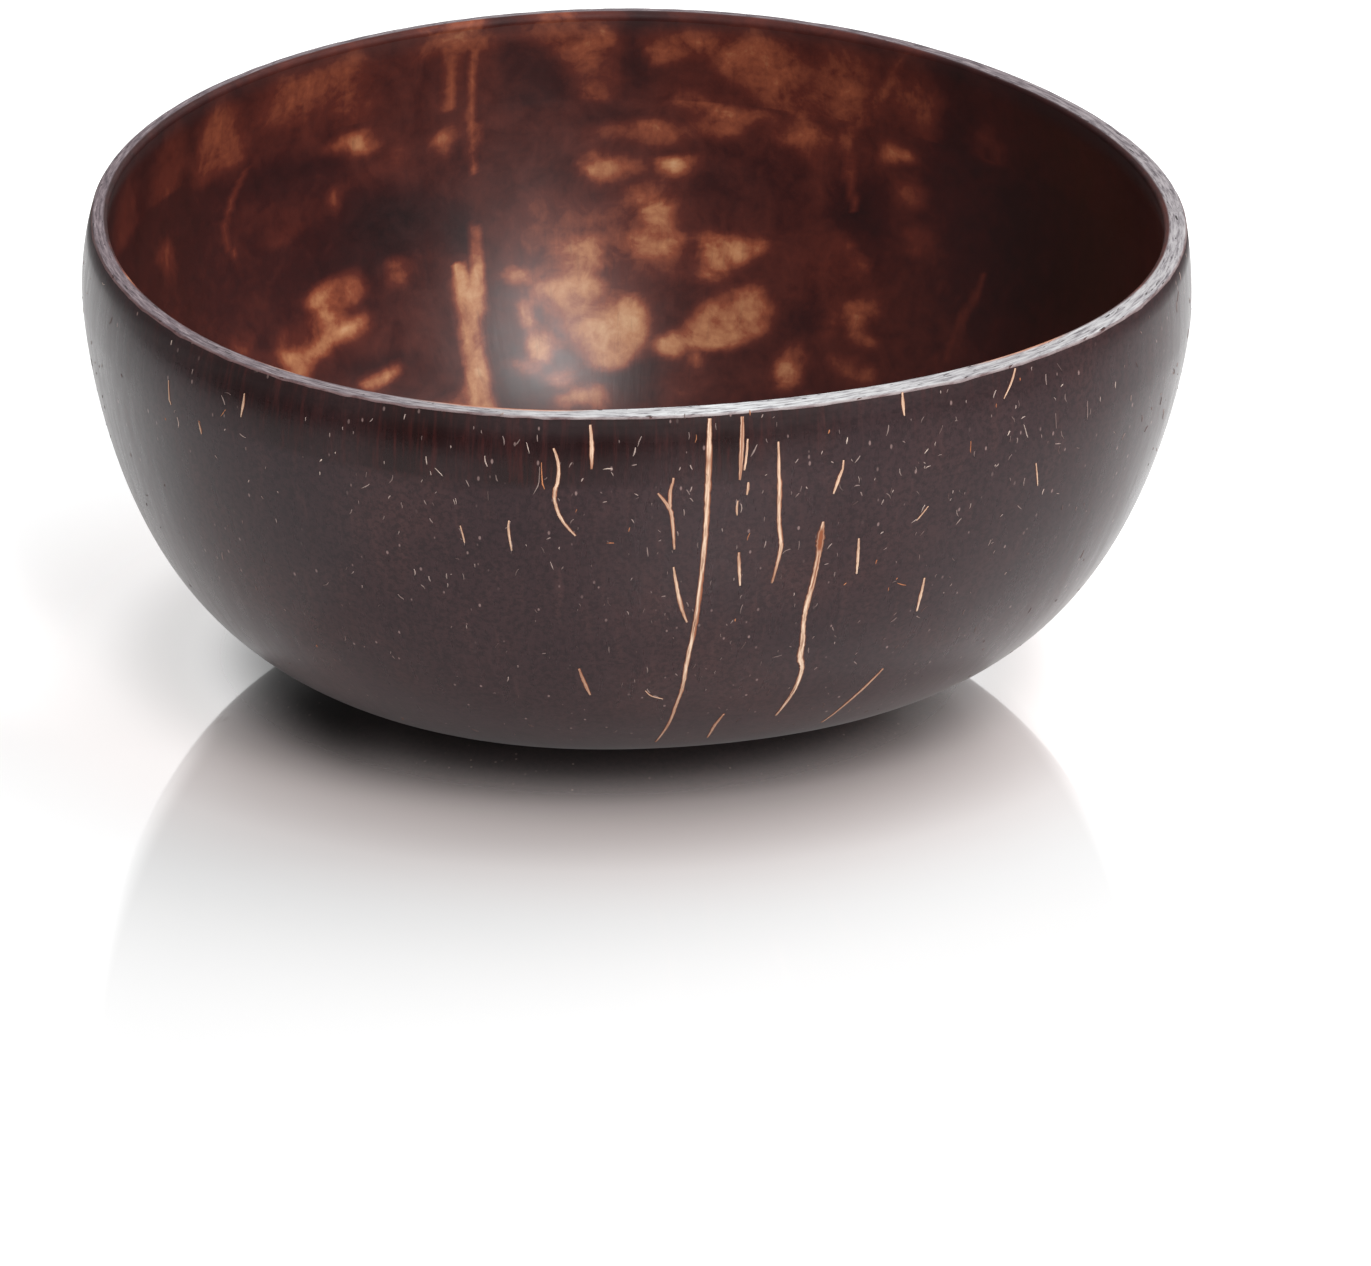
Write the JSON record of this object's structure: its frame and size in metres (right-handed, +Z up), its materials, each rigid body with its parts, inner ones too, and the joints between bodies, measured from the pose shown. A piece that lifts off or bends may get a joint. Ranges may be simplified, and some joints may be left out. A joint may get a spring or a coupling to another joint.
{
  "type": "coconut shell bowl",
  "caption": "Round-bottomed bowl made from a sawn and polished coconut shell, with pale husk fibre strands inlaid in its dark outer face and a flat sanded base.",
  "frame": {"origin": "middle of the flat base, on the table", "axes": "+Z up through the open mouth, -Y towards the side with the longest strands, +X to the right of it"},
  "size_m": [0.1468, 0.1335, 0.0707],
  "materials": {
    "shell": "dark brown coconut shell, satin polished outside, mottled inside",
    "strand": "pale tan husk fibre, sanded flush"
  },
  "bodies": {
    "root": {"shell": "shell", "long_strand": "strand", "thick_strand": "strand", "forked_strand": "strand", "fork_tail_strand": "strand", "straight_strand": "strand", "curved_strand": "strand", "rim_strand": "strand", "short_upper_strand": "strand", "short_middle_strand": "strand", "upper_right_strand": "strand", "middle_right_strand": "strand", "lower_right_strand": "strand", "low_diagonal_strand": "strand", "lower_left_strand": "strand", "base_strand": "strand"}
  },
  "joints": []
}
